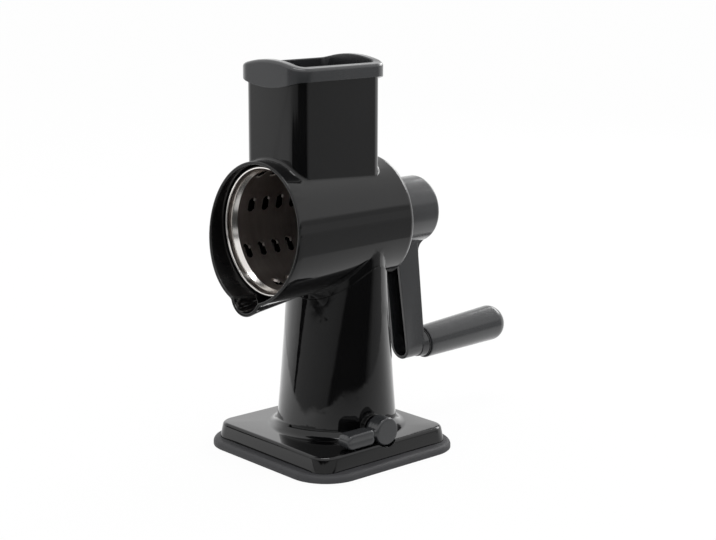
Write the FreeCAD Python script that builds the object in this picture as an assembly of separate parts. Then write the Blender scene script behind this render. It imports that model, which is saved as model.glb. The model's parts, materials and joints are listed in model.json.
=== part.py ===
# Hand cranked rotary shredder on a suction base, in millimetres.
# X runs along the drum, with the mouth at -X and the crank at +X. Z is up from the table.
# The origin is the centre of the foot's underside.
import FreeCAD, Part
import math
import os

os.makedirs("parts", exist_ok=True)

Vector = FreeCAD.Vector
along_x = Vector(1, 0, 0)
along_y = Vector(0, 1, 0)
along_z = Vector(0, 0, 1)

# Clearances
running_gap = 0.05
seat_gap = 0.1
loose_gap = 0.3
fuse_depth = 1.0

# Foot
foot_half = 65.0
foot_corner = 27.0
foot_height = 4.8
foot_round = 3.2
foot_rib_height = 3.0
foot_rib_wall = 2.0
membrane_radius = 45.5
membrane_thickness = 3.2

# Base
base_half_low = 57.3
base_half_high = 55.8
base_corner = 12.0
base_top = 15.0
base_round = 2.4
base_wall = 2.4

# Column
column_x = 4.5
column_low_half_x = 41.0
column_low_half_y = 40.3
column_high = 150.0
column_high_half_x = 21.5
column_high_half_y = 41.3
column_wall = 2.6
column_flare = 7.2
deck_height = 96.0
deck_thickness = 3.0
saddle_drop = 4.5
neck_inset = 0.7

# Barrel
axis_height = 154.0
barrel_front_x = -85.0
barrel_front_radius = 46.7
barrel_rear_x = 32.0
barrel_rear_radius = 42.3
barrel_wall = 2.3
barrel_rear_round = 5.5
barrel_rear_wall = 3.6
lip_x = -66.5
lip_top_x = -61.6
lip_bottom_x = -74.3
boss_radius = 17.0
boss_end_x = 53.7
boss_blend = 3.0
chute_blend = 2.5
lip_round = 0.7

# Pouring spout
spout_radius = 15.0
spout_drop = 5.8
spout_back_x = -14.0
spout_back_radius = 5.0
spout_blend = 5.0

# Feed chute
chute_front_x = -51.1
chute_rear_x = 19.7
chute_half_y = 28.4
chute_corner = 8.5
chute_wall = 2.3
chute_top = 254.0

# Chute rim
rim_proud = 3.2
rim_inner_skin = 1.2
rim_low = 251.0
rim_high = 259.3
rim_lobe_up = 4.3
rim_lobe_down = 4.8
rim_lobe_crown = 88.0
rim_lobe_blend = 26.0
rim_round = 2.4
rim_inner_round = 0.8

# Drum
drum_front_x = -56.4
drum_ring_radius = 42.2
drum_bead = 0.8
drum_bead_sides = 8
drum_step_front_x = -52.2
drum_shell_front_x = -48.4
drum_shell_front_radius = 39.8
drum_shell_rear_x = 25.0
drum_shell_rear_radius = 37.8
drum_sheet = 0.8
drum_rows = 8
drum_row_turn = 16.0
drum_columns = 5
drum_first_hole_x = -37.7
drum_row_stagger = -5.8
drum_hole_pitch = 11.6
drum_hole_width = 5.6
drum_hole_length = 10.4
tooth_rise = 1.5
tooth_wall = 0.8
tooth_spread = 1.2
tooth_start = 1.6
drum_end_x = 31.6
drum_hub_x = 14.0
drum_hub_radius = 11.0
drum_spokes = 4
drum_end_rim = 4.0
drum_end_skin = 2.5

# Drive shaft
shaft_radius = 5.0
square_drive = 7.6
square_start_x = 17.0
shaft_end_x = 71.0
bush_wall = 3.0
bush_flange_radius = 10.5
bush_flange = 1.3

# Crank
hub_radius = 22.9
hub_start_x = 41.0
hub_end_x = 79.0
hub_round = 3.2
hub_wall = 2.6
hub_boss_radius = 9.5
hub_end_wall = 3.6
hub_ribs = 4
hub_rib_wall = 2.0
arm_half_width = 7.3
arm_lean = 5.5
arm_depth_top = 20.6
arm_depth_bottom = 16.6
arm_wall = 2.2
arm_edge_round = 0.9
arm_boss_gap = 0.8
neck_blend_out = 5.4
neck_blend_down = 9.0
arm_outer_at_axis = 70.4
crank_throw = 97.2
arm_end_radius = 8.5
grip_boss_root_radius = 8.9
grip_boss_radius = 9.9
grip_boss_proud = 3.4
pin_boss_wall = 2.5
pin_boss_depth = 1.5
pin_head_height = 1.4
pin_head_rim = 1.6
crank_screw_radius = 2.0
crank_screw_head = 4.4
crank_screw_height = 2.6
crank_screw_length = 10.0
crank_screw_seat = 1.6
crank_screw_bore = 12.0
hub_plug_radius = 7.0
hub_plug_thickness = 1.6

# Grip
grip_tilt = 2.3
grip_length = 82.0
grip_small_radius = 11.3
grip_large_radius = 13.0
grip_end_round = 9.5
grip_near_round = 1.0
grip_pin_radius = 3.0
grip_pin_reach = 52.0
grip_washer = 1.2
grip_washer_radius = 10.2

# Suction lever
lever_height = 22.0
knob_radius = 9.5
knob_face_y = -56.0
knob_back_y = -45.2
knob_collar_radius = 7.8
knob_skin = 3.0
knob_edge_round = 1.0
lever_pad_y = -42.2
lever_pad_radius = 8.6
knob_rings = 3
knob_ring_depth = 0.5
knob_ring_width = 0.9
knob_ring_pitch = 2.4
paddle_tip_x = -34.6
paddle_root_x = -11.0
paddle_top = 3.9
paddle_bottom = -6.3
paddle_root_round = 2.6
paddle_neck_bottom = -1.6
paddle_neck_set_back = 1.8
paddle_tip_round = 4.7
paddle_edge_round = 1.3
paddle_groove = 0.8
paddle_groove_width = 1.3
knob_pocket_gap = 0.9
cam_shaft_radius = 3.5
cam_shaft_end_y = 18.5
cam_base_radius = 4.8
cam_lift = 2.5
cam_width = 7.0
cam_steps = 12
lever_bush_wall = 2.0
bearing_y = 12.5
bearing_width = 3.0
clip_radius = 6.0
clip_thickness = 1.0

# Plunger
yoke_half_width = 12.5
yoke_bar = 2.8
yoke_rod_radius = 4.0
plate_radius = 19.0
plate_thickness = 1.2

# Bottom plate and screws
plate_height = 2.0
cup_radius = 23.0
cup_wall = 2.4
cup_roof_z = 8.8
screw_radius = 1.6
screw_head_radius = 3.4
screw_head_height = 1.6
base_screw_place = 41.0
post_radius = 4.6
neck_screw_bite = 4.5
neck_post_x = 13.0
neck_post_y = 20.0


def save(node, shape):
    """Write one named piece."""
    shape.exportStep("parts/" + node + ".step")
    print(node, shape.isValid(), len(shape.Solids), round(shape.Volume, 1))


def rod(radius, length, start, direction):
    """A round bar."""
    return Part.makeCylinder(radius, length, start, direction)


def tube(outer, inner, length, start, direction):
    """A round bar with a round bore right through."""
    return rod(outer, length, start, direction).cut(rod(inner, length, start, direction))


def at_axis(x):
    """The point of the drum's axis at x."""
    return Vector(x, 0, axis_height)


def turned(points):
    """A solid turned about the drum's axis from (x, radius) points."""
    corners = [Vector(x, 0, axis_height + radius) for x, radius in points]
    face = Part.Face(Part.makePolygon(corners + corners[:1]))
    return face.revolve(at_axis(0), along_x, 360)


def rounded_wire(centre_x, half_x, half_y, corner, z):
    """A rectangle with round corners, level at z."""
    box = Part.makeBox(2 * half_x, 2 * half_y, 1, Vector(centre_x - half_x, -half_y, z))
    upright = [edge for edge in box.Edges if edge.BoundBox.ZLength > 0.5]
    box = box.makeFillet(corner, upright)
    floor = min(box.Faces, key=lambda face: face.CenterOfMass.z)
    return floor.OuterWire


def rounded_prism(centre_x, half_x, half_y, corner, low, high):
    """A block with round upright corners."""
    face = Part.Face(rounded_wire(centre_x, half_x, half_y, corner, low))
    return face.extrude(Vector(0, 0, high - low))


def ellipse_wire(half_x, half_y, z):
    """The column's level section at z."""
    if half_x > half_y:
        curve = Part.Ellipse(Vector(column_x, 0, z), half_x, half_y)
    else:
        centre = Vector(column_x, 0, z)
        curve = Part.Ellipse(centre + Vector(0, half_y, 0), centre + Vector(half_x, 0, 0), centre)
    return Part.Wire([curve.toShape()])


def column_solid(inset, low, high):
    """The tapering column between two heights, drawn in by inset."""
    def half(low_half, high_half, z):
        share = (z - base_top) / (column_high - base_top)
        return low_half + (high_half - low_half) * share - inset
    wires = []
    for z in (low, high):
        half_x = half(column_low_half_x, column_high_half_x, z)
        half_y = half(column_low_half_y, column_high_half_y, z)
        wires.append(ellipse_wire(half_x, half_y, z))
    return Part.makeLoft(wires, True, True)


def barrel_radius(x):
    """The barrel's outer radius at x."""
    share = (x - barrel_front_x) / (barrel_rear_x - barrel_front_x)
    return barrel_front_radius + (barrel_rear_radius - barrel_front_radius) * share


def barrel_cone(offset, rear_x):
    """The barrel's outer cone, moved out by offset, as far back as rear_x."""
    length = rear_x - barrel_front_x
    front = barrel_front_radius + offset
    rear = barrel_radius(rear_x) + offset
    return Part.makeCone(front, rear, length, at_axis(barrel_front_x), along_x)


def edges_between(shape, low, high):
    """The edges whose heights lie between low and high."""
    found = []
    for edge in shape.Edges:
        box = edge.BoundBox
        if box.ZMin >= low and box.ZMax <= high:
            found.append(edge)
    return found


# Foot, base and column

def make_suction_foot():
    """Rubber skirt that stands proud of the base all round, with a locating rib."""
    body = rounded_prism(0, foot_half, foot_half, foot_corner, 0, foot_height)
    outer_top = [edge for edge in body.Edges if edge.BoundBox.ZMin > foot_height - running_gap]
    body = body.makeFillet(foot_round, outer_top)
    rib_top = foot_height + foot_rib_height
    rib_half = rib_outer_half()
    rib_corner = base_corner - base_wall
    rib = rounded_prism(0, rib_half, rib_half, rib_corner, foot_height, rib_top)
    inside_half = rib_half - foot_rib_wall
    hollow = rounded_prism(0, inside_half, inside_half, rib_corner - foot_rib_wall,
                           foot_height, rib_top)
    body = body.fuse(rib.cut(hollow)).removeSplitter()
    opening = rod(membrane_radius + seat_gap, foot_height, Vector(0, 0, 0), along_z)
    body = body.cut(opening)
    for spot in base_screw_spots():
        body = body.cut(rod(screw_head_radius + loose_gap, foot_height, spot, along_z))
    return body


def base_screw_spots():
    """The four corners where the bottom plate is screwed to the base."""
    spots = []
    for side_x in (-1, 1):
        for side_y in (-1, 1):
            spots.append(Vector(side_x * base_screw_place, side_y * base_screw_place, 0))
    return spots


def base_half(z):
    """Half the base's breadth at height z."""
    slope = (base_half_high - base_half_low) / (base_top - foot_height)
    return base_half_low + slope * (z - foot_height)


def rib_outer_half():
    """Half the breadth of the foot's rib, which sits inside the base's wall."""
    return base_half(foot_height + foot_rib_height) - base_wall - seat_gap


def base_block(inset, low, high):
    """The square base's body, drawn in by inset."""
    wires = []
    for z in (low, high):
        half = base_half(z) - inset
        wires.append(rounded_wire(0, half, half, base_corner - inset, z))
    return Part.makeLoft(wires, True, True)


def saddle_cut():
    """The space above the seam between the column and the barrel."""
    return barrel_cone(saddle_drop, barrel_rear_x + foot_half)


def make_pedestal():
    """Square base and column in one shell, open below, with a deck under the barrel."""
    shell = base_block(0, foot_height, base_top)
    shell = shell.fuse(column_solid(0, base_top - fuse_depth, axis_height)).removeSplitter()
    level = edges_between(shell, base_top - running_gap, base_top + running_gap)
    flare = [edge for edge in level if type(edge.Curve).__name__ == "BSplineCurve"]
    shell = shell.makeFillet(column_flare, flare)
    level = edges_between(shell, base_top - running_gap, base_top + running_gap)
    rim = [edge for edge in level if edge.BoundBox.DiagonalLength > base_corner]
    rim = [edge for edge in rim if type(edge.Curve).__name__ in ("Line", "Circle")]
    shell = shell.makeFillet(base_round, rim)
    shell = shell.cut(saddle_cut())
    knob_pocket_radius = knob_radius + knob_pocket_gap
    knob_axis = Vector(0, knob_face_y, lever_height)
    liner = rod(knob_pocket_radius + base_wall, -knob_face_y + lever_pad_y, knob_axis, along_y)
    liner = liner.common(base_block(base_wall / 2, foot_height + fuse_depth, base_top - fuse_depth))
    cavity = base_block(base_wall, foot_height, base_top - base_wall)
    inside_low = column_solid(column_wall, base_top - base_wall - fuse_depth, deck_height)
    inside_high = column_solid(column_wall, deck_height + deck_thickness, axis_height)
    shell = shell.cut(cavity.fuse(inside_low)).cut(inside_high)
    shell = shell.fuse(liner)
    pad_length = lever_pad_radius
    pad = rod(lever_pad_radius, pad_length, Vector(0, lever_pad_y, lever_height), along_y)
    shell = shell.fuse(pad)
    pocket_start = Vector(0, -base_half_low - fuse_depth, lever_height)
    pocket = rod(knob_pocket_radius, lever_pad_y - pocket_start.y, pocket_start, along_y)
    shell = shell.cut(pocket)
    bush_hole = cam_shaft_radius + lever_bush_wall + running_gap
    shell = shell.cut(rod(bush_hole, 2 * pad_length, Vector(0, lever_pad_y - fuse_depth, lever_height), along_y))
    post_low = foot_height + plate_height
    for spot in base_screw_spots():
        post = rod(post_radius, base_top - base_wall / 2 - post_low, spot + Vector(0, 0, post_low), along_z)
        pilot = rod(screw_radius + running_gap / 2, base_top - base_wall - post_low,
                    spot + Vector(0, 0, post_low), along_z)
        shell = shell.fuse(post).cut(pilot)
    for spot in neck_screw_spots(deck_height):
        shell = shell.cut(rod(screw_radius + loose_gap, deck_thickness, spot, along_z))
    return shell.removeSplitter()


def neck_screw_spots(z):
    """Where the barrel's posts are screwed to the deck."""
    spots = []
    for side_x in (-1, 1):
        for side_y in (-1, 1):
            spots.append(Vector(column_x + side_x * neck_post_x, side_y * neck_post_y, z))
    return spots


def screw(spot, head_height, shank):
    """A pan head screw that points up from spot, its head below."""
    crown = head_height / 2
    low = spot - Vector(0, 0, head_height)
    head = Part.makeCone(screw_head_radius - crown, screw_head_radius, crown, low, along_z)
    head = head.fuse(rod(screw_head_radius, head_height - crown, low + Vector(0, 0, crown), along_z))
    return head.fuse(rod(screw_radius, shank, spot, along_z))


def make_bottom_plate():
    """Plate inside the foot's rib, with the plunger's cup and the cam's two bearings."""
    half = rib_outer_half() - foot_rib_wall - seat_gap
    corner = base_corner - base_wall - foot_rib_wall
    plate = rounded_prism(0, half, half, corner, foot_height, foot_height + plate_height)
    roof_top = cup_roof_z + plate_height
    cup = rod(cup_radius + cup_wall, roof_top - foot_height, Vector(0, 0, foot_height), along_z)
    plate = plate.fuse(cup)
    bearing_half = cam_shaft_radius + lever_bush_wall + running_gap
    for side in (-1, 1):
        near_y = side * bearing_y - bearing_width / 2
        ear = Part.makeBox(2 * bearing_half, bearing_width, lever_height - roof_top + fuse_depth,
                           Vector(-bearing_half, near_y, roof_top - fuse_depth))
        ear = ear.fuse(rod(bearing_half, bearing_width, Vector(0, near_y, lever_height), along_y))
        plate = plate.fuse(ear)
    plate = plate.cut(rod(cam_shaft_radius + running_gap, 4 * bearing_y,
                          Vector(0, -2 * bearing_y, lever_height), along_y))
    plate = plate.cut(rod(cup_radius, cup_roof_z - foot_height, Vector(0, 0, foot_height), along_z))
    plate = plate.cut(rod(yoke_rod_radius + running_gap, roof_top, Vector(0, 0, foot_height), along_z))
    for spot in base_screw_spots():
        plate = plate.cut(rod(screw_radius + loose_gap, roof_top, spot, along_z))
    return plate.removeSplitter()


def make_base_screws():
    """Four screws that hold the bottom plate up into the base."""
    shank = base_top - base_wall - foot_height - fuse_depth
    seat = Vector(0, 0, foot_height)
    return Part.makeCompound([screw(spot + seat, screw_head_height, shank)
                              for spot in base_screw_spots()])


def make_neck_screws():
    """Four screws that hold the barrel's posts down on the deck."""
    shank = deck_thickness + neck_screw_bite
    return Part.makeCompound([screw(spot, screw_head_height, shank)
                              for spot in neck_screw_spots(deck_height)])


def make_membrane():
    """Rubber membrane that lies flat on the table and is pulled up at its centre."""
    return rod(membrane_radius, membrane_thickness, Vector(0, 0, 0), along_z)


# Barrel housing

def spout_solid(inset):
    """The pouring spout's keel under the mouth, drawn in by inset."""
    front_x = barrel_front_x
    front_centre = axis_height - barrel_radius(lip_x) - spout_drop + spout_radius
    back_centre = axis_height - barrel_radius(spout_back_x) + spout_back_radius
    length = spout_back_x - lip_x
    reach = (lip_x - front_x) / length
    rise = (back_centre - front_centre) * reach
    grow = (spout_radius - spout_back_radius) * reach
    start = Vector(front_x, 0, front_centre - rise)
    end = Vector(spout_back_x, 0, back_centre)
    axis = end - start
    return Part.makeCone(spout_radius + grow - inset, spout_back_radius - inset, axis.Length, start, axis)


def lip_trim():
    """Everything in front of the mouth's slanting, slightly hollowed front."""
    low = Vector(lip_bottom_x, -foot_half, axis_height - barrel_front_radius)
    middle = Vector(lip_x, -foot_half, axis_height)
    high = Vector(lip_top_x, -foot_half, axis_height + barrel_front_radius)
    run_on = Vector(lip_x - lip_bottom_x, 0, barrel_front_radius)
    below = low - run_on
    above = high + run_on
    front = Vector(2 * barrel_front_x, 0, 0)
    edges = [
        Part.LineSegment(below, low).toShape(),
        Part.Arc(low, middle, high).toShape(),
        Part.LineSegment(high, above).toShape(),
        Part.LineSegment(above, above + front).toShape(),
        Part.LineSegment(above + front, below + front).toShape(),
        Part.LineSegment(below + front, below).toShape(),
    ]
    return Part.Face(Part.Wire(edges)).extrude(Vector(0, 2 * foot_half, 0))


def chute_prism(offset, low, high):
    """The feed chute's rounded block, moved out by offset."""
    centre = (chute_front_x + chute_rear_x) / 2
    half_x = (chute_rear_x - chute_front_x) / 2 + offset
    return rounded_prism(centre, half_x, chute_half_y + offset, chute_corner + offset, low, high)


def rear_dome():
    """The barrel's closed rear end with its rounded edge and the shaft's boss."""
    rear_face = barrel_rear_x + barrel_rear_round
    flat_radius = barrel_rear_radius - barrel_rear_round
    cap = rod(barrel_rear_radius, barrel_rear_round, at_axis(barrel_rear_x), along_x)
    far_edge = max(cap.Edges, key=lambda edge: edge.BoundBox.XMin)
    cap = cap.makeFillet(barrel_rear_round - running_gap, [far_edge])
    boss = rod(boss_radius, boss_end_x - barrel_rear_x, at_axis(barrel_rear_x), along_x)
    skirt_radius = boss_radius + boss_blend
    skirt = Part.makeCone(flat_radius - boss_blend, boss_radius, boss_blend, at_axis(rear_face), along_x)
    if skirt_radius > flat_radius:
        return cap.fuse(boss)
    return cap.fuse(boss).fuse(skirt)


def spout_junction(body):
    """The edges where the spout's keel meets the barrel."""
    found = []
    for edge in body.Edges:
        if edge.BoundBox.ZMax < axis_height - barrel_rear_radius / 2 and edge.BoundBox.XLength > spout_radius:
            if type(edge.Curve).__name__ == "BSplineCurve":
                found.append(edge)
    return found


def chute_junction(body):
    """The edges where the feed chute meets the barrel."""
    found = []
    for edge in edges_between(body, axis_height + barrel_rear_radius / 2, axis_height + barrel_front_radius):
        box = edge.BoundBox
        if box.XMin > chute_front_x - seat_gap and box.XMax < chute_rear_x + seat_gap:
            found.append(edge)
    return found


def mouth_edges(body):
    """The edges of the mouth's slanting front."""
    found = []
    for face in body.Faces:
        surface = face.Surface
        if type(surface).__name__ == "Cylinder" and abs(surface.Axis.y) > abs(surface.Axis.x):
            if face.BoundBox.XMax < chute_front_x:
                found += face.Edges
    return found


def make_barrel_housing():
    """Barrel with its slanting mouth, spout, feed chute, rear boss and neck."""
    middle = axis_height
    body = barrel_cone(0, barrel_rear_x).fuse(spout_solid(0)).removeSplitter()
    body = body.makeFillet(spout_blend, spout_junction(body))
    body = body.fuse(rear_dome())
    body = body.fuse(chute_prism(0, middle, chute_top)).removeSplitter()
    body = body.makeFillet(chute_blend, chute_junction(body))
    neck = column_solid(neck_inset, deck_height + deck_thickness, middle)
    neck = neck.common(barrel_cone(saddle_drop - seat_gap, barrel_rear_x))
    body = body.fuse(neck)
    neck_hollow = column_solid(neck_inset + column_wall, deck_height, middle)
    neck_hollow = neck_hollow.cut(barrel_cone(0, barrel_rear_x))
    body = body.cut(neck_hollow)
    post_low = deck_height + deck_thickness
    for spot in neck_screw_spots(post_low):
        body = body.fuse(rod(post_radius, middle - barrel_rear_radius / 2 - post_low, spot, along_z))
    inside = barrel_cone(-barrel_wall, barrel_rear_x + barrel_rear_round - barrel_rear_wall)
    body = body.cut(inside)
    body = body.cut(chute_prism(-chute_wall, middle + barrel_rear_radius / 2, chute_top))
    body = body.cut(spout_solid(barrel_wall))
    body = body.cut(lip_trim()).removeSplitter()
    body = body.makeFillet(lip_round, mouth_edges(body))
    bush_hole = shaft_radius + bush_wall + running_gap
    body = body.cut(rod(bush_hole, boss_end_x, at_axis(barrel_rear_x), along_x))
    for spot in neck_screw_spots(post_low):
        body = body.cut(rod(screw_radius + running_gap / 2, neck_screw_bite + fuse_depth, spot, along_z))
    return body.removeSplitter()


def make_shaft_bush():
    """Flanged plain bearing for the drive shaft in the rear boss."""
    start = barrel_rear_x + barrel_rear_round - barrel_rear_wall
    sleeve = tube(shaft_radius + bush_wall, shaft_radius + running_gap, boss_end_x - start,
                  at_axis(start), along_x)
    flange = tube(bush_flange_radius, shaft_radius + running_gap, bush_flange, at_axis(boss_end_x), along_x)
    return sleeve.fuse(flange).removeSplitter()


def lobe_arcs(level, rise):
    """One edge of the rim's side profile: flat, then a lobe, then flat, along Y."""
    direction = 1 if rise > 0 else -1
    height = abs(rise)
    total = rim_lobe_crown + rim_lobe_blend
    reach = math.sqrt(total ** 2 - (total - height) ** 2)
    share = rim_lobe_crown / total
    joint_y = reach * share
    joint_z = height - rim_lobe_crown + (total - height) * share
    angle = math.asin(reach / total)
    blend_y = reach - rim_lobe_blend * math.sin(angle / 2)
    blend_z = rim_lobe_blend - rim_lobe_blend * math.cos(angle / 2)
    far = 2 * chute_half_y

    def place(y, z):
        return Vector(chute_front_x - foot_half, y, level + direction * z)

    return [
        Part.LineSegment(place(-far, 0), place(-reach, 0)).toShape(),
        Part.Arc(place(-reach, 0), place(-blend_y, blend_z), place(-joint_y, joint_z)).toShape(),
        Part.Arc(place(-joint_y, joint_z), place(0, height), place(joint_y, joint_z)).toShape(),
        Part.Arc(place(joint_y, joint_z), place(blend_y, blend_z), place(reach, 0)).toShape(),
        Part.LineSegment(place(reach, 0), place(far, 0)).toShape(),
    ]


def make_chute_rim():
    """Collar that grips the chute's top edge, low at the long sides and lobed at both ends."""
    upper = lobe_arcs(rim_high, rim_lobe_up)
    lower = lobe_arcs(rim_low, -rim_lobe_down)
    sides = []
    for end in (0, -1):
        high_point = upper[end].Vertexes[end].Point
        low_point = lower[end].Vertexes[end].Point
        sides.append(Part.LineSegment(low_point, high_point).toShape())
    wire = Part.Wire(Part.__sortEdges__(upper + lower + sides))
    profile = Part.Face(wire).extrude(Vector(3 * foot_half, 0, 0))
    low = rim_low - rim_lobe_down - fuse_depth
    high = rim_high + rim_lobe_up + fuse_depth
    inner_offset = -chute_wall - rim_inner_skin
    band = chute_prism(rim_proud, low, high).cut(chute_prism(inner_offset, low, high))
    band = band.common(profile)
    outer_edges = [edge for edge in rim_top_edges(band) if outside_chute(edge)]
    band = band.makeFillet(rim_round, outer_edges)
    inner_edges = [edge for edge in rim_top_edges(band) if not outside_chute(edge)]
    band = band.makeFillet(rim_inner_round, inner_edges)
    groove = chute_prism(seat_gap, low, chute_top + seat_gap)
    groove = groove.cut(chute_prism(-chute_wall - seat_gap, low, chute_top + seat_gap))
    return band.cut(groove)


def rim_top_edges(band):
    """The edges round the rim's top."""
    return [edge for edge in band.Edges if edge.BoundBox.ZMin > rim_high - running_gap]


def outside_chute(edge):
    """Whether an edge of the rim's top runs outside the chute's wall."""
    point = edge.CenterOfMass
    centre = (chute_front_x + chute_rear_x) / 2
    half_x = (chute_rear_x - chute_front_x) / 2
    corner_x = abs(point.x - centre) - half_x + chute_corner
    corner_y = abs(point.y) - chute_half_y + chute_corner
    if corner_x > 0 and corner_y > 0:
        return math.hypot(corner_x, corner_y) > chute_corner
    return max(corner_x, corner_y) > chute_corner


# Shredding drum

def drum_radius(x):
    """The perforated sheet's outer radius at x."""
    share = (x - drum_shell_front_x) / (drum_shell_rear_x - drum_shell_front_x)
    return drum_shell_front_radius + (drum_shell_rear_radius - drum_shell_front_radius) * share


def slot_face(x, half_width, half_length, level):
    """A level slot outline at the drum's top: straight sides and bevelled ends, long around the drum."""
    bevel = half_width * (2 - math.sqrt(2))
    corners = []
    for side_x, side_y in ((1, 1), (-1, 1), (-1, -1), (1, -1)):
        long_corner = Vector(x + side_x * half_width, side_y * (half_length - bevel), level)
        end_corner = Vector(x + side_x * (half_width - bevel), side_y * half_length, level)
        if side_x * side_y > 0:
            corners += [long_corner, end_corner]
        else:
            corners += [end_corner, long_corner]
    return Part.makePolygon(corners + corners[:1])


def hole_cutter(x):
    """A slot through the drum's top at x, long around the drum."""
    depth = 2 * tooth_rise + 2 * drum_sheet
    level = axis_height + drum_radius(x) - depth / 2
    wire = slot_face(x, drum_hole_width / 2, drum_hole_length / 2, level)
    return Part.Face(wire).extrude(Vector(0, 0, depth))


def tooth(x):
    """Raised cutting hood over the leading end of a slot."""
    foot = axis_height + drum_radius(x) - drum_sheet
    top = foot + tooth_rise + drum_sheet
    half_width = drum_hole_width / 2
    half_length = drum_hole_length / 2
    outer_low = slot_face(x, half_width + tooth_wall + tooth_spread, half_length + tooth_wall + tooth_spread, foot)
    outer_high = slot_face(x, half_width + tooth_wall, half_length + tooth_wall, top)
    inner_low = slot_face(x, half_width + tooth_spread, half_length + tooth_spread, foot)
    inner_high = slot_face(x, half_width, half_length, top)
    hood = Part.makeLoft([outer_low, outer_high], True, True)
    hood = hood.cut(Part.makeLoft([inner_low, inner_high], True, True))
    reach = half_length + tooth_wall + tooth_spread
    lead = Part.makeBox(2 * reach, reach - tooth_start, 2 * tooth_rise + drum_sheet,
                        Vector(x - reach, -reach, foot))
    return hood.common(lead)


def make_drum_shell():
    """Tapering steel sheet with rows of slots, each with its raised cutting hood."""
    length = drum_shell_rear_x - drum_shell_front_x
    start = at_axis(drum_shell_front_x)
    outer = Part.makeCone(drum_shell_front_radius, drum_shell_rear_radius, length, start, along_x)
    inner = Part.makeCone(drum_shell_front_radius - drum_sheet, drum_shell_rear_radius - drum_sheet,
                          length, start, along_x)
    cutters = []
    teeth = []
    for row in range(drum_rows):
        turn = drum_row_turn + row * 360.0 / drum_rows
        stagger = drum_row_stagger * (row % 2)
        for column in range(drum_columns):
            x = drum_first_hole_x + stagger + column * drum_hole_pitch
            for maker, group in ((hole_cutter, cutters), (tooth, teeth)):
                piece = maker(x)
                piece.rotate(at_axis(0), along_x, turn)
                group.append(piece)
    sheet = outer.cut(Part.makeCompound(cutters))
    sheet = sheet.fuse(teeth)
    return sheet.cut(inner).removeSplitter()


def make_drum_ring():
    """Rolled mouth of the drum: bead, straight band, and the bright step down to the sheet."""
    centre_x = drum_front_x + drum_bead
    inner = drum_ring_radius - drum_sheet
    rear_outer = drum_shell_front_radius
    rear_inner = drum_shell_front_radius - drum_sheet
    step = drum_shell_front_x - drum_step_front_x
    rear_x = drum_shell_front_x - running_gap
    ring = turned([
        (centre_x, inner),
        (centre_x, drum_ring_radius),
        (drum_step_front_x, drum_ring_radius),
        (drum_step_front_x + step / 3, drum_ring_radius - drum_sheet / 3),
        (drum_step_front_x + 2 * step / 3, rear_outer + drum_sheet / 2),
        (rear_x, rear_outer),
        (rear_x, rear_inner),
        (drum_step_front_x + step / 3, inner - drum_sheet),
        (drum_step_front_x, inner - drum_sheet / 4),
    ])
    points = []
    for index in range(drum_bead_sides):
        turn = 2 * math.pi * index / drum_bead_sides
        radius = drum_ring_radius - drum_bead + drum_bead * math.cos(turn)
        points.append((centre_x + drum_bead * math.sin(turn), radius))
    return ring.fuse(turned(points)).removeSplitter()


def make_drum_end():
    """Spoked rear end of the drum with the square socket for the drive shaft."""
    rim_outer = drum_shell_rear_radius - drum_sheet - running_gap
    front = drum_shell_rear_x - drum_end_rim
    rim = tube(rim_outer, rim_outer - 2 * drum_sheet, drum_shell_rear_x - front, at_axis(front), along_x)
    flange = rod(drum_shell_rear_radius, drum_end_x - drum_shell_rear_x - 2 * drum_sheet,
                 at_axis(drum_shell_rear_x + running_gap), along_x)
    hub = rod(drum_hub_radius, drum_end_x - drum_hub_x, at_axis(drum_hub_x), along_x)
    end = rim.fuse(flange).fuse(hub)
    for index in range(drum_spokes):
        rib = Part.makeBox(drum_shell_rear_x - front + fuse_depth, 2 * drum_sheet, rim_outer - drum_hub_radius,
                           Vector(front, -drum_sheet, axis_height + drum_hub_radius - fuse_depth))
        rib.rotate(at_axis(0), along_x, index * 360.0 / drum_spokes)
        end = end.fuse(rib)
    socket = square_drive + 4 * running_gap
    hole = Part.makeBox(drum_end_x, socket, socket, Vector(drum_hub_x - fuse_depth, -socket / 2, axis_height - socket / 2))
    end = end.cut(hole)
    step = rod(shaft_radius + loose_gap, drum_end_x, at_axis(square_end_x()), along_x)
    return end.cut(step).removeSplitter()


def square_end_x():
    """Where the drive shaft's square end meets its round part."""
    return drum_end_x - drum_end_skin


# Crank

def make_drive_shaft():
    """Steel shaft: square where it drives the drum, round in its bush, fixed in the crank's hub."""
    side = square_drive
    square = Part.makeBox(square_end_x() - square_start_x + fuse_depth, side, side,
                          Vector(square_start_x, -side / 2, axis_height - side / 2))
    square = square.common(rod(shaft_radius, drum_end_x, at_axis(square_start_x), along_x))
    body = square.fuse(rod(shaft_radius, shaft_end_x - square_end_x(), at_axis(square_end_x()), along_x))
    bore = rod(crank_screw_radius + running_gap, crank_screw_bore,
               at_axis(shaft_end_x - crank_screw_bore), along_x)
    return body.cut(bore).removeSplitter()


def arm_outer_x(z):
    """The arm's outer face at height z, which leans out towards the bottom."""
    return arm_outer_at_axis + math.tan(math.radians(arm_lean)) * (axis_height - z)


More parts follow.
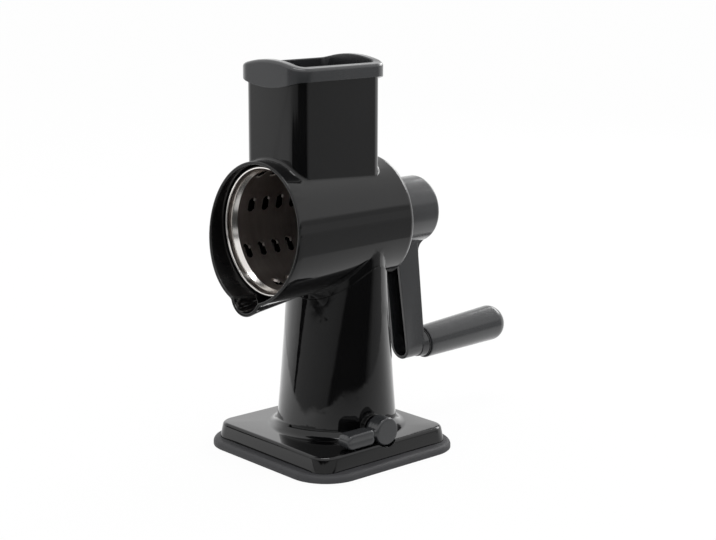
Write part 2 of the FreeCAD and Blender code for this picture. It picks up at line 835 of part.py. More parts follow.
def arm_prism(inset, end_radius):
    """The arm's tapering bar with a round lower end, drawn in by inset."""
    bottom = axis_height - crank_throw - end_radius
    top = axis_height
    share = (axis_height - bottom) / crank_throw
    depth_bottom = arm_depth_top + (arm_depth_bottom - arm_depth_top) * share
    corners = [
        Vector(arm_outer_x(top) - arm_depth_top, 0, top),
        Vector(arm_outer_x(top) - inset, 0, top),
        Vector(arm_outer_x(bottom) - inset, 0, bottom),
        Vector(arm_outer_x(bottom) - depth_bottom, 0, bottom),
    ]
    face = Part.Face(Part.makePolygon(corners + corners[:1]))
    half = max(arm_half_width, end_radius) - inset
    slab = face.extrude(Vector(0, 2 * half, 0))
    slab.translate(Vector(0, -half, 0))
    far = 2 * foot_half
    low = axis_height - crank_throw
    end = rod(end_radius - inset, far, Vector(0, 0, low), along_x)
    top_half = arm_half_width - inset
    low_half = end_radius - inset
    outline = Part.makePolygon([
        Vector(0, -top_half, axis_height),
        Vector(0, top_half, axis_height),
        Vector(0, low_half, low),
        Vector(0, -low_half, low),
        Vector(0, -top_half, axis_height),
    ])
    bar = Part.Face(outline).extrude(Vector(far, 0, 0))
    return slab.common(bar.fuse(end))


def neck_web():
    """The hollow curve that leads from the hub's underside into the arm's outer face."""
    drop = math.sqrt(hub_radius ** 2 - arm_half_width ** 2)
    corner_z = axis_height - drop
    low_z = corner_z - neck_blend_down
    corner_x = arm_outer_x(corner_z)
    half = math.sqrt(0.5)
    high = Vector(corner_x + neck_blend_out, -arm_half_width, corner_z)
    low = Vector(arm_outer_x(low_z), -arm_half_width, low_z)
    middle_x = corner_x + neck_blend_out * (1 - half) + (low.x - corner_x) * half * half
    middle = Vector(middle_x, -arm_half_width, corner_z - neck_blend_down * (1 - half))
    inner = Vector(corner_x - arm_wall, -arm_half_width, low_z)
    inner_top = Vector(inner.x, inner.y, high.z + hub_wall)
    high_top = high + Vector(0, 0, hub_wall)
    edges = [
        Part.Arc(high, middle, low).toShape(),
        Part.LineSegment(low, inner).toShape(),
        Part.LineSegment(inner, inner_top).toShape(),
        Part.LineSegment(inner_top, high_top).toShape(),
        Part.LineSegment(high_top, high).toShape(),
    ]
    return Part.Face(Part.Wire(edges)).extrude(Vector(0, 2 * arm_half_width, 0))


def grip_place(distance):
    """The point of the grip's axis at a distance from the arm's middle plane."""
    start = Vector(arm_outer_x(axis_height - crank_throw), 0, axis_height - crank_throw)
    return start + grip_axis() * distance


def grip_axis():
    """The grip's direction, tilted up a little from the drum's axis."""
    tilt = math.radians(grip_tilt)
    return Vector(math.cos(tilt), 0, math.sin(tilt))


def make_crank_arm():
    """Hub, hollow arm and grip boss in one moulding, open on the side that faces the barrel."""
    hub = rod(hub_radius, hub_end_x - hub_start_x, at_axis(hub_start_x), along_x)
    far_edge = max(hub.Edges, key=lambda edge: edge.BoundBox.XMin)
    hub = hub.makeFillet(hub_round, [far_edge])
    arm = arm_prism(0, arm_end_radius)
    outer_edges = [edge for edge in arm.Edges if edge.BoundBox.XMin > arm_outer_at_axis - running_gap
                   and edge.BoundBox.ZLength > arm_wall]
    arm = arm.makeFillet(arm_edge_round, outer_edges)
    body = hub.fuse(arm).fuse(neck_web())
    body = body.cut(rod(hub_radius - hub_wall, hub_end_x - hub_end_wall - hub_start_x,
                        at_axis(hub_start_x), along_x))
    body = body.cut(arm_prism(arm_wall, arm_end_radius))
    boss_start = boss_end_x + bush_flange + loose_gap
    body = body.fuse(rod(hub_boss_radius, hub_end_x - hub_end_wall - boss_start, at_axis(boss_start), along_x))
    for index in range(hub_ribs):
        rib = Part.makeBox(hub_end_x - hub_end_wall - boss_start, hub_rib_wall,
                           hub_radius - hub_wall - hub_boss_radius + 2 * seat_gap,
                           Vector(boss_start, -hub_rib_wall / 2, axis_height + hub_boss_radius - seat_gap))
        rib.rotate(at_axis(0), along_x, index * 360.0 / hub_ribs)
        body = body.fuse(rib)
    body = body.fuse(Part.makeCone(grip_boss_root_radius, grip_boss_radius, grip_boss_proud + arm_wall,
                                   grip_place(-arm_wall), grip_axis()))
    body = body.fuse(rod(grip_pin_radius + pin_boss_wall, pin_boss_depth + arm_wall,
                         grip_place(-pin_boss_depth - arm_wall), grip_axis()))
    body = body.cut(rod(grip_pin_radius + running_gap, grip_length, grip_place(-grip_length / 2), grip_axis()))
    body = body.cut(rod(shaft_radius + running_gap, shaft_end_x - boss_start, at_axis(boss_start), along_x))
    body = body.cut(rod(crank_screw_radius + loose_gap, hub_end_x, at_axis(shaft_end_x), along_x))
    body = body.cut(rod(hub_plug_radius, hub_end_x, at_axis(screw_seat_x()), along_x))
    return body.removeSplitter()


def screw_seat_x():
    """The floor of the hub's screw recess."""
    return shaft_end_x + crank_screw_seat


def make_crank_screw():
    """Screw that holds the crank's hub on the shaft."""
    crown = crank_screw_height / 2
    seat = screw_seat_x()
    head = rod(crank_screw_head, crank_screw_height - crown, at_axis(seat), along_x)
    head = head.fuse(Part.makeCone(crank_screw_head, crank_screw_head - crown, crown,
                                   at_axis(seat + crank_screw_height - crown), along_x))
    return head.fuse(rod(crank_screw_radius, crank_screw_length, at_axis(seat - crank_screw_length), along_x))


def make_hub_plug():
    """Cap that closes the screw recess in the hub's end."""
    start = hub_end_x - hub_plug_thickness
    plug = rod(hub_plug_radius - running_gap, hub_plug_thickness, at_axis(start), along_x)
    far_edge = max(plug.Edges, key=lambda edge: edge.BoundBox.XMin)
    return plug.makeFillet(hub_plug_thickness / 3, [far_edge])


def make_grip_pin():
    """Riveted steel pin that carries the turning grip."""
    head_start = -pin_boss_depth - arm_wall - pin_head_height
    head = rod(grip_pin_radius + pin_head_rim, pin_head_height, grip_place(head_start), grip_axis())
    shank_start = head_start + pin_head_height
    shank = rod(grip_pin_radius, grip_boss_proud + grip_pin_reach - shank_start,
                grip_place(shank_start), grip_axis())
    return head.fuse(shank)


def make_grip_washer():
    """Dark washer between the crank and the grip."""
    return tube(grip_washer_radius, grip_pin_radius + running_gap, grip_washer - 2 * running_gap,
                grip_place(grip_boss_proud + running_gap), grip_axis())


def make_grip():
    """Turning grip, slightly wider towards its rounded end."""
    start = grip_boss_proud + grip_washer
    length = grip_length - start
    cone = Part.makeCone(grip_small_radius, grip_large_radius, length, grip_place(start), grip_axis())
    edges = sorted(cone.Edges, key=lambda edge: edge.CenterOfMass.x)
    cone = cone.makeFillet(grip_end_round, [edges[-1]])
    near = min(cone.Edges, key=lambda edge: edge.CenterOfMass.x)
    cone = cone.makeFillet(grip_near_round, [near])
    bore = rod(grip_pin_radius + running_gap, grip_pin_reach + running_gap, grip_place(start), grip_axis())
    return cone.cut(bore)


# Suction lever

def make_paddle(depth):
    """Bean shaped paddle with a groove along its front, and the neck that holds it on the knob."""
    height = paddle_top - paddle_bottom
    low = lever_height + paddle_bottom
    paddle = Part.makeBox(paddle_root_x - paddle_tip_x, depth, height, Vector(paddle_tip_x, knob_face_y, low))
    ends = [edge for edge in paddle.Edges if edge.BoundBox.YLength > depth / 2]
    tip = [edge for edge in ends if edge.BoundBox.XMax < paddle_tip_x + seat_gap]
    paddle = paddle.makeFillet(paddle_tip_round, tip)
    ends = [edge for edge in paddle.Edges if edge.BoundBox.YLength > depth / 2]
    root = [edge for edge in ends if edge.BoundBox.XMin > paddle_root_x - seat_gap]
    paddle = paddle.makeFillet(paddle_root_round, root)
    rims = [edge for edge in paddle.Edges if edge.BoundBox.YLength < running_gap]
    paddle = paddle.makeFillet(paddle_edge_round, rims)
    groove = Part.makeBox(paddle_root_x - paddle_tip_x, 2 * paddle_groove, paddle_groove_width,
                          Vector(paddle_tip_x, knob_face_y - paddle_groove,
                                 low + height / 2 - paddle_groove_width / 2))
    neck = Part.makeBox(-paddle_root_x + paddle_root_round, depth - paddle_neck_set_back,
                        paddle_top - paddle_edge_round - paddle_neck_bottom,
                        Vector(paddle_root_x - paddle_root_round, knob_face_y + paddle_neck_set_back,
                               lever_height + paddle_neck_bottom))
    return paddle.cut(groove).fuse(neck)


def make_lever_knob():
    """Ringed knob with a collar towards the column and a grooved, tapering paddle to one side."""
    depth = knob_back_y - knob_face_y
    knob = rod(knob_radius, depth, Vector(0, knob_face_y, lever_height), along_y)
    front = min(knob.Edges, key=lambda edge: edge.CenterOfMass.y)
    knob = knob.makeFillet(knob_edge_round, [front])
    for index in range(knob_rings):
        start = Vector(0, knob_face_y + (index + 1) * knob_ring_pitch, lever_height)
        knob = knob.cut(tube(knob_radius + knob_ring_depth, knob_radius - knob_ring_depth,
                             knob_ring_width, start, along_y))
    collar = rod(knob_collar_radius, lever_pad_y - loose_gap - knob_back_y,
                 Vector(0, knob_back_y, lever_height), along_y)
    body = knob.fuse(collar).fuse(make_paddle(depth))
    bore = rod(cam_shaft_radius + running_gap, lever_pad_y - knob_face_y - knob_skin,
               Vector(0, knob_face_y + knob_skin, lever_height), along_y)
    return body.cut(bore).removeSplitter()


def make_lever_bush():
    """Plain bearing for the cam shaft in the column's front pad."""
    start = Vector(0, lever_pad_y, lever_height)
    outer = cam_shaft_radius + lever_bush_wall
    return tube(outer, cam_shaft_radius + running_gap, lever_pad_radius, start, along_y)


def make_cam_shaft():
    """Steel shaft with a cam of constant breadth that lifts the yoke evenly over half a turn."""
    start = knob_face_y + knob_skin + running_gap
    shaft = rod(cam_shaft_radius, cam_shaft_end_y - start, Vector(0, start, lever_height), along_y)
    points = []
    for index in range(2 * cam_steps):
        turn = math.pi * index / cam_steps
        share = index / cam_steps if index <= cam_steps else 2 - index / cam_steps
        reach = cam_base_radius + cam_lift * share
        points.append(Vector(-reach * math.sin(turn), -cam_width / 2, lever_height + reach * math.cos(turn)))
    curve = Part.BSplineCurve()
    curve.interpolate(points, PeriodicFlag=True)
    cam = Part.Face(Part.Wire([curve.toShape()])).extrude(Vector(0, cam_width, 0))
    return shaft.fuse(cam).removeSplitter()


def make_shaft_clip():
    """Ring that keeps the cam shaft in its bearings."""
    return tube(clip_radius, cam_shaft_radius + running_gap, clip_thickness,
                Vector(0, bearing_y + bearing_width / 2 + running_gap, lever_height), along_y)


# Plunger

def make_pull_yoke():
    """Yoke round the cam, with the rod that pulls the membrane's plate."""
    gap = loose_gap
    inner_top = lever_height + cam_base_radius + gap
    inner_low = lever_height - cam_base_radius - cam_lift - gap
    inner_half = cam_base_radius + cam_lift + 2 * gap
    outer = Part.makeBox(2 * yoke_half_width, cam_width, inner_top - inner_low + 2 * yoke_bar,
                         Vector(-yoke_half_width, -cam_width / 2, inner_low - yoke_bar))
    window = Part.makeBox(2 * inner_half, cam_width, inner_top - inner_low,
                          Vector(-inner_half, -cam_width / 2, inner_low))
    frame = outer.cut(window)
    rod_low = membrane_thickness + plate_thickness
    stem = rod(yoke_rod_radius, inner_low - yoke_bar - rod_low, Vector(0, 0, rod_low), along_z)
    return frame.fuse(stem).removeSplitter()


def make_membrane_plate():
    """Steel plate bonded on the membrane, under the yoke's rod."""
    return rod(plate_radius, plate_thickness, Vector(0, 0, membrane_thickness), along_z)


save("suction_foot", make_suction_foot())
save("suction_membrane", make_membrane())
save("pedestal", make_pedestal())
save("bottom_plate", make_bottom_plate())
save("base_screws", make_base_screws())
save("neck_screws", make_neck_screws())
save("barrel_housing", make_barrel_housing())
save("shaft_bush", make_shaft_bush())
save("chute_rim", make_chute_rim())
save("drum_shell", make_drum_shell())
save("drum_ring", make_drum_ring())
save("drum_end", make_drum_end())
save("drive_shaft", make_drive_shaft())
save("crank_arm", make_crank_arm())
save("crank_screw", make_crank_screw())
save("hub_plug", make_hub_plug())
save("grip_pin", make_grip_pin())
save("grip_washer", make_grip_washer())
save("grip", make_grip())
save("lever_knob", make_lever_knob())
save("lever_bush", make_lever_bush())
save("cam_shaft", make_cam_shaft())
save("shaft_clip", make_shaft_clip())
save("pull_yoke", make_pull_yoke())
save("membrane_plate", make_membrane_plate())
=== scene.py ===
import json
import math

import bmesh
import bpy
from mathutils import Matrix, Vector

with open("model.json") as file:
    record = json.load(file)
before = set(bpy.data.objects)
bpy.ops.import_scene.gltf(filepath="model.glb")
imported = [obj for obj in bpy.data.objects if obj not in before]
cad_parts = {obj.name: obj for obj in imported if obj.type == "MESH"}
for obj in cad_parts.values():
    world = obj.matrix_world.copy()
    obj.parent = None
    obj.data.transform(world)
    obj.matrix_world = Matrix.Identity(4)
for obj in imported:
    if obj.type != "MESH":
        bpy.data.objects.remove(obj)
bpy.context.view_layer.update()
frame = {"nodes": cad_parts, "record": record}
nodes = frame["nodes"]
scene = bpy.context.scene

MM = 0.001


# Shader helpers

def new_material(name):
    """An empty material with its node tree, principled shader and object coordinates."""
    material = bpy.data.materials.new(name)
    material.use_nodes = True
    tree = material.node_tree
    shader = tree.nodes["Principled BSDF"]
    place = tree.nodes.new("ShaderNodeTexCoord")
    return material, tree, shader, place.outputs["Object"]


def noise(tree, place, scale, detail=3.0, roughness=0.55, stretch=(1, 1, 1)):
    """A noise pattern on object coordinates, stretched where asked."""
    mapping = tree.nodes.new("ShaderNodeMapping")
    mapping.inputs["Scale"].default_value = stretch
    tree.links.new(place, mapping.inputs["Vector"])
    texture = tree.nodes.new("ShaderNodeTexNoise")
    texture.inputs["Scale"].default_value = scale
    texture.inputs["Detail"].default_value = detail
    texture.inputs["Roughness"].default_value = roughness
    tree.links.new(mapping.outputs["Vector"], texture.inputs["Vector"])
    return texture.outputs["Fac"]


def spread(tree, value, low_in, high_in, low_out=0.0, high_out=1.0):
    """Maps a value's range to another range, clamped."""
    node = tree.nodes.new("ShaderNodeMapRange")
    node.inputs["From Min"].default_value = low_in
    node.inputs["From Max"].default_value = high_in
    node.inputs["To Min"].default_value = low_out
    node.inputs["To Max"].default_value = high_out
    tree.links.new(value, node.inputs["Value"])
    return node.outputs["Result"]


def calculate(tree, kind, first, second=0.0):
    """One arithmetic step on values or sockets."""
    node = tree.nodes.new("ShaderNodeMath")
    node.operation = kind
    for socket, value in zip(node.inputs, (first, second)):
        if isinstance(value, (int, float)):
            socket.default_value = value
        else:
            tree.links.new(value, socket)
    return node.outputs["Value"]


def colour_mix(tree, share, first, second):
    """A colour between two, by a share from 0 to 1."""
    node = tree.nodes.new("ShaderNodeMix")
    node.data_type = "RGBA"
    tree.links.new(share, node.inputs["Factor"])
    for socket, value in zip((node.inputs[6], node.inputs[7]), (first, second)):
        if hasattr(value, "links"):
            tree.links.new(value, socket)
        else:
            socket.default_value = (*value, 1)
    return node.outputs[2]


def set_colour(tree, shader, share, dark, light):
    """A base colour that varies between a dark and a light tone."""
    tree.links.new(colour_mix(tree, share, dark, light), shader.inputs["Base Color"])


def set_roughness(tree, shader, pattern, low, high, smooth, rough):
    """A roughness that follows a pattern's values from low to high."""
    tree.links.new(spread(tree, pattern, low, high, smooth, rough), shader.inputs["Roughness"])


def bump(tree, shader, height, strength, distance, edge_round=0):
    """Surface relief from a height pattern, over edges that are rounded where asked."""
    node = tree.nodes.new("ShaderNodeBump")
    node.inputs["Strength"].default_value = strength
    node.inputs["Distance"].default_value = distance
    tree.links.new(height, node.inputs["Height"])
    if edge_round:
        softened = tree.nodes.new("ShaderNodeBevel")
        softened.samples = 4
        softened.inputs["Radius"].default_value = edge_round
        tree.links.new(softened.outputs["Normal"], node.inputs["Normal"])
    tree.links.new(node.outputs["Normal"], shader.inputs["Normal"])


# Finishes

axis_height = 154 * MM

# The bore's duller finish ends between two radii, which lie inside the wall, and between two
# places near the mouth, behind which the tapering barrel's outside comes within those radii
bore_finish_radii = (45.0 * MM, 45.3 * MM)
bore_finish_ends = (-46 * MM, -44 * MM)


def inside_barrel(tree, place):
    """One on the bore's faces near the mouth, nought elsewhere."""
    part = tree.nodes.new("ShaderNodeSeparateXYZ")
    tree.links.new(place, part.inputs["Vector"])
    along_axis, across = part.outputs["X"], part.outputs["Y"]
    up = calculate(tree, "SUBTRACT", part.outputs["Z"], axis_height)
    square_sum = calculate(tree, "ADD", calculate(tree, "MULTIPLY", up, up),
                           calculate(tree, "MULTIPLY", across, across))
    radius = calculate(tree, "SQRT", square_sum)
    return calculate(tree, "MULTIPLY",
                     spread(tree, radius, *bore_finish_radii, 1.0, 0.0),
                     spread(tree, along_axis, *bore_finish_ends, 1.0, 0.0))


def gloss_black():
    """Polished black moulded plastic with faint waves, dust, wiping marks and a duller bore."""
    material, tree, shader, place = new_material("polished black plastic")
    shader.inputs["IOR"].default_value = 1.5
    dust_roughness = 0.12
    bore_roughness = 0.22
    cloud = spread(tree, noise(tree, place, scale=14.0, detail=4.0), 0.35, 0.7)
    set_colour(tree, shader, cloud, (0.0016, 0.0016, 0.0018), (0.0028, 0.0028, 0.0030))
    smear = noise(tree, place, scale=40.0, detail=5.0, roughness=0.6, stretch=(1, 1, 0.35))
    dust = spread(tree, noise(tree, place, scale=900.0, detail=2.0), 0.70, 0.80)
    inside = inside_barrel(tree, place)
    rough = spread(tree, smear, 0.35, 0.75, 0.035, 0.075)
    for pattern, extra in ((dust, dust_roughness), (inside, bore_roughness)):
        rough = calculate(tree, "ADD", rough, calculate(tree, "MULTIPLY", pattern, extra))
    tree.links.new(rough, shader.inputs["Roughness"])
    outside = calculate(tree, "SUBTRACT", 1.0, inside)
    waves = calculate(tree, "MULTIPLY", noise(tree, place, scale=26.0, detail=1.0), outside)
    bump(tree, shader, waves, strength=0.025, distance=0.0006, edge_round=0.0006)
    return material


def matte_grey():
    """Dark grey satin plastic with fine spark texture and rubbed patches."""
    material, tree, shader, place = new_material("satin dark grey plastic")
    shader.inputs["IOR"].default_value = 1.65
    cloud = spread(tree, noise(tree, place, scale=30.0, detail=4.0), 0.3, 0.7)
    set_colour(tree, shader, cloud, (0.020, 0.021, 0.023), (0.025, 0.026, 0.028))
    handled = noise(tree, place, scale=55.0, detail=5.0, roughness=0.65)
    set_roughness(tree, shader, handled, 0.3, 0.75, smooth=0.18, rough=0.26)
    grain = noise(tree, place, scale=1800.0, detail=2.0, roughness=0.5)
    bump(tree, shader, grain, strength=0.25, distance=0.00012, edge_round=0.0005)
    return material


def matte_black():
    """Plain black plastic for the pieces inside."""
    material, tree, shader, place = new_material("plain black plastic")
    cloud = noise(tree, place, scale=45.0, detail=4.0)
    set_colour(tree, shader, cloud, (0.010, 0.010, 0.011), (0.018, 0.018, 0.02))
    patches = noise(tree, place, scale=60.0)
    set_roughness(tree, shader, patches, 0.3, 0.7, smooth=0.32, rough=0.5)
    grain = noise(tree, place, scale=1500.0, detail=2.0)
    bump(tree, shader, grain, strength=0.2, distance=0.0001)
    return material


def foot_rubber():
    """Dark grey rubber with a dusty bloom and a fine moulded grain."""
    material, tree, shader, place = new_material("dark grey rubber")
    shader.inputs["IOR"].default_value = 1.45
    bloom = spread(tree, noise(tree, place, scale=22.0, detail=5.0, roughness=0.6), 0.4, 0.75)
    set_colour(tree, shader, bloom, (0.034, 0.034, 0.037), (0.052, 0.052, 0.055))
    set_roughness(tree, shader, bloom, 0.0, 1.0, smooth=0.55, rough=0.72)
    grain = noise(tree, place, scale=1400.0, detail=3.0)
    bump(tree, shader, grain, strength=0.35, distance=0.00015)
    return material


def bearing_plastic():
    """Off-white slippery plastic of the bushes."""
    material, tree, shader, place = new_material("off-white bearing plastic")
    cloud = noise(tree, place, scale=60.0)
    set_colour(tree, shader, cloud, (0.50, 0.49, 0.44), (0.60, 0.59, 0.55))
    patches = noise(tree, place, scale=80.0)
    set_roughness(tree, shader, patches, 0.3, 0.7, smooth=0.35, rough=0.5)
    grain = noise(tree, place, scale=1200.0)
    bump(tree, shader, grain, strength=0.15, distance=0.0001)
    return material


def drum_steel(name, dark, light, smooth, rough):
    """Stainless steel, drawn round the drum, with faint stains."""
    material, tree, shader, place = new_material(name)
    shader.inputs["Metallic"].default_value = 1.0
    lines = noise(tree, place, scale=60.0, detail=3.0, roughness=0.5, stretch=(12, 0.6, 0.6))
    stain = noise(tree, place, scale=35.0, detail=4.0)
    tone = calculate(tree, "ADD", calculate(tree, "MULTIPLY", lines, 0.5),
                     calculate(tree, "MULTIPLY", stain, 0.5))
    set_colour(tree, shader, spread(tree, tone, 0.35, 0.65), dark, light)
    set_roughness(tree, shader, tone, 0.35, 0.65, smooth, rough)
    bump(tree, shader, lines, strength=0.04, distance=0.0001)
    return material


def plain_steel():
    """Turned and plated steel."""
    material, tree, shader, place = new_material("plated turned steel")
    shader.inputs["Metallic"].default_value = 1.0
    cloud = noise(tree, place, scale=120.0, detail=4.0)
    set_colour(tree, shader, cloud, (0.42, 0.42, 0.43), (0.58, 0.58, 0.58))
    set_roughness(tree, shader, cloud, 0.3, 0.7, smooth=0.22, rough=0.4)
    marks = noise(tree, place, scale=700.0, detail=3.0)
    bump(tree, shader, marks, strength=0.12, distance=0.0001)
    return material


finishes = {
    "black_gloss": gloss_black(),
    "black_matte": matte_black(),
    "grey_matte": matte_grey(),
    "foot_rubber": foot_rubber(),
    "bearing_plastic": bearing_plastic(),
    "drum_steel": drum_steel("drawn stainless sheet", (0.60, 0.54, 0.51), (0.68, 0.63, 0.60),
                             smooth=0.30, rough=0.40),
    "plain_steel": plain_steel(),
}
ring_finish = drum_steel("rolled stainless ring", (0.78, 0.75, 0.72), (0.86, 0.84, 0.81),
                         smooth=0.14, rough=0.21)


# Surfaces of the solids

seam_gap = 0.01 * MM
crisp_angle = math.radians(28)
knob_grid = 0.4 * MM
knob_rounding_steps = 50


def close_seams(piece):
    """Joins a solid's loose triangles and shades them smoothly."""
    for polygon in piece.data.polygons:
        polygon.use_smooth = True
    weld = piece.modifiers.new("close seams", "WELD")
    weld.merge_threshold = seam_gap


def keep_crisp_edges(piece):
    """Stops the smooth shading at the solid's edges."""
    split = piece.modifiers.new("keep crisp edges", "EDGE_SPLIT")
    split.split_angle = crisp_angle


def round_edges(piece):
    """Gives the knob an even skin and rounds its edges, as on a moulded handle."""
    skin = piece.modifiers.new("even skin", "REMESH")
    skin.mode = "VOXEL"
    skin.voxel_size = knob_grid
    skin.use_smooth_shade = True
    rounding = piece.modifiers.new("round the edges", "SMOOTH")
    rounding.factor = 0.5
    rounding.iterations = knob_rounding_steps


for entry in frame["record"]["subparts"]:
    name = entry["node"]
    piece = nodes[name]
    finish = ring_finish if name == "drum_ring" else finishes[entry["material_slot"]]
    piece.data.materials.clear()
    piece.data.materials.append(finish)
    close_seams(piece)
    if name == "lever_knob":
        round_edges(piece)
    else:
        keep_crisp_edges(piece)


# Camera at the photograph's place, fitted to the object's outlines
# Its turn is in degrees from the lever's side, minus towards the mouth

camera_turn = -41.1
camera_lift = 11.93
camera_distance = 1.06295
camera_target_height = 0.1272
sensor_width = 36
lens_length = 80.35
picture_shift = (0.0368, -0.0126)


def direction(turn, lift):
    """The way out from the object at a turn and a lift, both in radians."""
    return Vector((math.sin(turn) * math.cos(lift), -math.cos(turn) * math.cos(lift),
                   math.sin(lift)))


def make_camera():
    """The camera that was fitted to the photograph's outlines."""
    turn = math.radians(camera_turn)
    back = direction(turn, math.radians(camera_lift))
    right = Vector((math.cos(turn), math.sin(turn), 0))
    above = back.cross(right)
    data = bpy.data.cameras.new("photo camera")
    data.sensor_width = sensor_width
    data.lens = lens_length
    data.shift_x, data.shift_y = picture_shift
    data.clip_start = 0.05
    camera = bpy.data.objects.new("photo camera", data)
    scene.collection.objects.link(camera)
    turned = Matrix((right, above, back)).transposed().to_4x4()
    turned.translation = Vector((0, 0, camera_target_height)) + back * camera_distance
    camera.matrix_world = turned
    scene.camera = camera


make_camera()


# Surroundings, which the gloss mirrors: a table that ends, walls, a ledge on them and a roof
# Each list goes round by (degrees, brightness): nought is the camera's side, plus is its right

far_table_levels = [(-180, 0.5), (-93, 0.5), (-70, 0.45), (-40, 0.36), (-27, 0.30), (-22, 0.05),
                    (44, 0.04), (52, 0.2), (60, 0.38), (80, 0.44), (180, 0.46)]
wall_levels = [(-180, 1.3), (-139, 1.4), (-112, 0.95), (-104, 0.75), (-95.4, 0.65), (-94.6, 0.03),
               (78.2, 0.03), (79.2, 0.45), (97, 0.5), (104, 1.1), (180, 1.25)]
ledge_levels = [(-180, 1.3), (-112, 1.0), (-96, 0.65), (-60, 0.58), (44, 0.56), (97, 0.55),
                (104, 1.1), (180, 1.25)]
low_roof_levels = [(-180, 1.40), (-172, 1.65), (-150, 1.6), (-120, 1.0), (150, 0.95), (172, 1.05),
                   (180, 1.40)]
high_roof_level = 0.95

# Where one zone passes into the next, in degrees above the horizon
ledge_foot = (-0.5, 0.2)
ledge_top = (8.5, 9.5)
wall_top = (14, 17)
low_roof_top = (24, 34)

# One where the far table is left out, so that the gloss shows the tent behind the object
far_table_missing = [(-180, 1), (-95.7, 1), (-95.2, 0), (97, 0), (98, 1), (180, 1)]

table_reach = 6.0
table_drop = 0.4 * MM
table_tone = 0.86
table_whiteness = 0.94
near_table_border = (0.285, 0.305)
near_table_end = (0.40, 0.46)
far_table_end = (3.5, 3.6)

card_width, card_height = 0.09, 0.125
card_foot_share = 0.3
card_leftward, card_backward = 0.42, 0.036

turn_to_camera = math.radians(camera_turn)
ahead = (math.sin(turn_to_camera), -math.cos(turn_to_camera), 0)
aside = (math.cos(turn_to_camera), math.sin(turn_to_camera), 0)


def along(tree, vector, way):
    """How far a vector reaches along a level direction."""
    node = tree.nodes.new("ShaderNodeVectorMath")
    node.operation = "DOT_PRODUCT"
    tree.links.new(vector, node.inputs[0])
    node.inputs[1].default_value = way
    return node.outputs["Value"]


def level_round(tree, front, side, stops):
    """A brightness all round, from (degrees from the camera, level) pairs."""
    angle = calculate(tree, "ARCTAN2", side, front)
    ramp = tree.nodes.new("ShaderNodeValToRGB")
    tree.links.new(spread(tree, angle, -math.pi, math.pi), ramp.inputs["Fac"])
    ramp.color_ramp.interpolation = "LINEAR"
    elements = ramp.color_ramp.elements
    while len(elements) > 1:
        elements.remove(elements[-1])
    for index, (degrees, level) in enumerate(stops):
        position = (degrees + 180) / 360
        element = elements[0] if index == 0 else elements.new(position)
        element.position = position
        element.color = (level, level, level, 1)
    return ramp.outputs["Color"]


def shader_mix(tree, share, first, second):
    """Two shaders mixed by a share from 0 to 1."""
    node = tree.nodes.new("ShaderNodeMixShader")
    tree.links.new(share, node.inputs["Fac"])
    tree.links.new(first.outputs[0], node.inputs[1])
    tree.links.new(second.outputs[0], node.inputs[2])
    return node


def share_above(tree, up, low, high):
    """Nought under one angle above the horizon and one over another."""
    return spread(tree, up, math.sin(math.radians(low)), math.sin(math.radians(high)))


def grey(tree, value):
    """A grey of the value's brightness."""
    node = tree.nodes.new("ShaderNodeCombineColor")
    for channel in node.inputs:
        tree.links.new(value, channel)
    return node.outputs["Color"]


def seen_directly(tree, path):
    """One for what the camera sees, also through glass."""
    return calculate(tree, "MAXIMUM", path.outputs["Is Camera Ray"],
                     path.outputs["Is Transmission Ray"])


def stage_object(name, shape, material):
    """A bmesh made an object of the scene, with its material."""
    mesh = bpy.data.meshes.new(name)
    shape.to_mesh(mesh)
    shape.free()
    mesh.materials.append(material)
    piece = bpy.data.objects.new(name, mesh)
    scene.collection.objects.link(piece)
    return piece


def near_table_level(tree, front, side):
    """The near table: darker to the right and towards the camera, brighter behind the object."""
    left_edge, right_edge = -0.3, 0.1
    left_level, right_level = 1.2, 0.78
    left_loss, right_loss = 0.6, 2.0
    loss_reach = 0.5
    back_edge, back_gain = -0.15, 0.5
    rightward = spread(tree, side, left_edge, right_edge)
    metres = spread(tree, front, 0.0, loss_reach, 0.0, loss_reach)
    loss = calculate(tree, "MULTIPLY", metres,
                     spread(tree, rightward, 0.0, 1.0, left_loss, right_loss))
    level = spread(tree, rightward, 0.0, 1.0, left_level, right_level)
    level = calculate(tree, "SUBTRACT", level, loss)
    return calculate(tree, "ADD", level, spread(tree, front, back_edge, 0.0, back_gain, 0.0))


def past_near_table(tree, front, side, distance):
    """One past the near table's border, which comes closer at the right."""
    slant = 0.9
    rightward = calculate(tree, "MAXIMUM", side, 0.0)
    border = calculate(tree, "ADD", front, calculate(tree, "MULTIPLY", rightward, slant))
    return calculate(tree, "MAXIMUM", spread(tree, border, *near_table_border),
                     spread(tree, distance, *near_table_end))


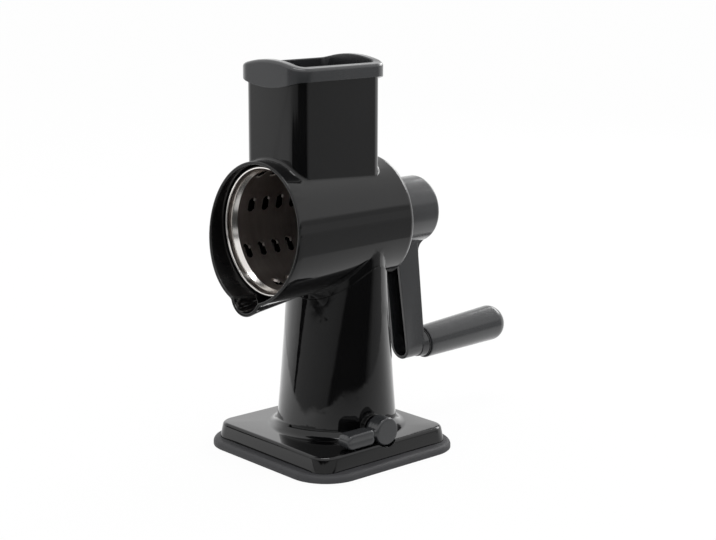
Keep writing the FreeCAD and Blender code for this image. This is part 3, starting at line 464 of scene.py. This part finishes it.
def table_finish():
    """Pale table that keeps the shadow, shows white to the camera and has a sheen in the gloss."""
    material = bpy.data.materials.new("white table")
    material.use_nodes = True
    tree = material.node_tree
    tree.nodes.clear()
    out = tree.nodes.new("ShaderNodeOutputMaterial")
    plain = tree.nodes.new("ShaderNodeBsdfDiffuse")
    plain.inputs["Color"].default_value = (table_tone, table_tone, table_tone, 1)
    lit = tree.nodes.new("ShaderNodeEmission")
    lit.inputs["Color"].default_value = (1, 1, 1, 1)
    sheen = tree.nodes.new("ShaderNodeEmission")
    clear = tree.nodes.new("ShaderNodeBsdfTransparent")
    path = tree.nodes.new("ShaderNodeLightPath")
    position = tree.nodes.new("ShaderNodeNewGeometry").outputs["Position"]
    front = along(tree, position, ahead)
    side = along(tree, position, aside)
    reach = tree.nodes.new("ShaderNodeVectorMath")
    reach.operation = "LENGTH"
    tree.links.new(position, reach.inputs[0])
    distance = reach.outputs["Value"]

    near = grey(tree, near_table_level(tree, front, side))
    far = level_round(tree, front, side, far_table_levels)
    is_far = past_near_table(tree, front, side, distance)
    tree.links.new(colour_mix(tree, is_far, near, far), sheen.inputs["Color"])
    ended = calculate(tree, "MAXIMUM", level_round(tree, front, side, far_table_missing),
                      spread(tree, distance, *far_table_end))
    missing = calculate(tree, "MULTIPLY", ended, is_far)

    white_share = calculate(tree, "MULTIPLY", seen_directly(tree, path), table_whiteness)
    to_camera = shader_mix(tree, white_share, plain, lit)
    to_gloss = shader_mix(tree, missing, sheen, clear)
    both = shader_mix(tree, path.outputs["Is Glossy Ray"], to_camera, to_gloss)
    tree.links.new(both.outputs["Shader"], out.inputs["Surface"])
    return material


def make_floor():
    """The plain pale table top, a hair under the foot."""
    shape = bmesh.new()
    bmesh.ops.create_grid(shape, x_segments=1, y_segments=1, size=table_reach)
    bmesh.ops.translate(shape, verts=shape.verts, vec=(0, 0, -table_drop))
    floor = stage_object("table top", shape, table_finish())


make_floor()


def make_black_card():
    """A small black card that stands on the table at the camera's left, beyond the picture."""
    material, _, shader, _ = new_material("black card")
    shader.inputs["Base Color"].default_value = (0.01, 0.01, 0.01, 1)
    shader.inputs["Roughness"].default_value = 0.9
    shape = bmesh.new()
    bmesh.ops.create_grid(shape, x_segments=1, y_segments=1, size=0.5)
    bmesh.ops.scale(shape, verts=shape.verts, vec=(card_width, card_height, 1))
    foot = [vert for vert in shape.verts if vert.co.y < 0]
    bmesh.ops.scale(shape, verts=foot, vec=(card_foot_share, 1, 1))
    for turn, axis in ((math.pi / 2, "X"), (turn_to_camera + math.pi / 2, "Z")):
        bmesh.ops.rotate(shape, verts=shape.verts, cent=(0, 0, 0),
                         matrix=Matrix.Rotation(turn, 3, axis))
    place = (Vector(aside) * -card_leftward + Vector(ahead) * -card_backward
             + Vector((0, 0, card_height / 2)))
    bmesh.ops.translate(shape, verts=shape.verts, vec=place)
    card = stage_object("black card", shape, material)
    card.visible_camera = False
    card.visible_shadow = False
    card.visible_diffuse = False


make_black_card()


def make_studio():
    """White surroundings with a dark opening on the camera's side, as in a light tent."""
    world = bpy.data.worlds.new("light tent")
    scene.world = world
    world.use_nodes = True
    tree = world.node_tree
    tree.nodes.clear()
    out = tree.nodes.new("ShaderNodeOutputWorld")
    way = tree.nodes.new("ShaderNodeTexCoord").outputs["Generated"]
    part = tree.nodes.new("ShaderNodeSeparateXYZ")
    tree.links.new(way, part.inputs["Vector"])
    up = part.outputs["Z"]
    front = along(tree, way, ahead)
    side = along(tree, way, aside)
    walls = level_round(tree, front, side, wall_levels)
    ledge = level_round(tree, front, side, ledge_levels)
    low_roof = level_round(tree, front, side, low_roof_levels)
    roof = colour_mix(tree, share_above(tree, up, *low_roof_top), low_roof,
                      (high_roof_level,) * 3)
    level = walls
    for border, zone in ((ledge_foot, ledge), (ledge_top, walls), (wall_top, roof)):
        level = colour_mix(tree, share_above(tree, up, *border), level, zone)
    around = tree.nodes.new("ShaderNodeBackground")
    tree.links.new(level, around.inputs["Color"])
    white = tree.nodes.new("ShaderNodeBackground")
    white.inputs["Color"].default_value = (1, 1, 1, 1)
    path = tree.nodes.new("ShaderNodeLightPath")
    both = shader_mix(tree, seen_directly(tree, path), around, white)
    tree.links.new(both.outputs["Shader"], out.inputs["Surface"])


make_studio()


lamp_target_height = 0.13


def make_lamp(name, side, height, away, width, tall, brightness):
    """A flat lamp at a turn from the camera and a height, both in degrees."""
    target = Vector((0, 0, lamp_target_height))
    place = target + away * direction(math.radians(camera_turn + side), math.radians(height))
    data = bpy.data.lights.new(name, "AREA")
    data.shape = "RECTANGLE"
    data.size = width
    data.size_y = tall
    data.energy = brightness * math.pi * width * tall
    lamp = bpy.data.objects.new(name, data)
    scene.collection.objects.link(lamp)
    facing = (target - place).to_track_quat("-Z", "Y").to_matrix().to_4x4()
    lamp.matrix_world = Matrix.Translation(place) @ facing


make_lamp("top lamp", side=0, height=82, away=1.6, width=0.9, tall=0.4, brightness=5.0)
make_lamp("back lamp", side=140, height=27, away=1.6, width=1.1, tall=0.45, brightness=5.0)

scene.view_settings.view_transform = "Standard"
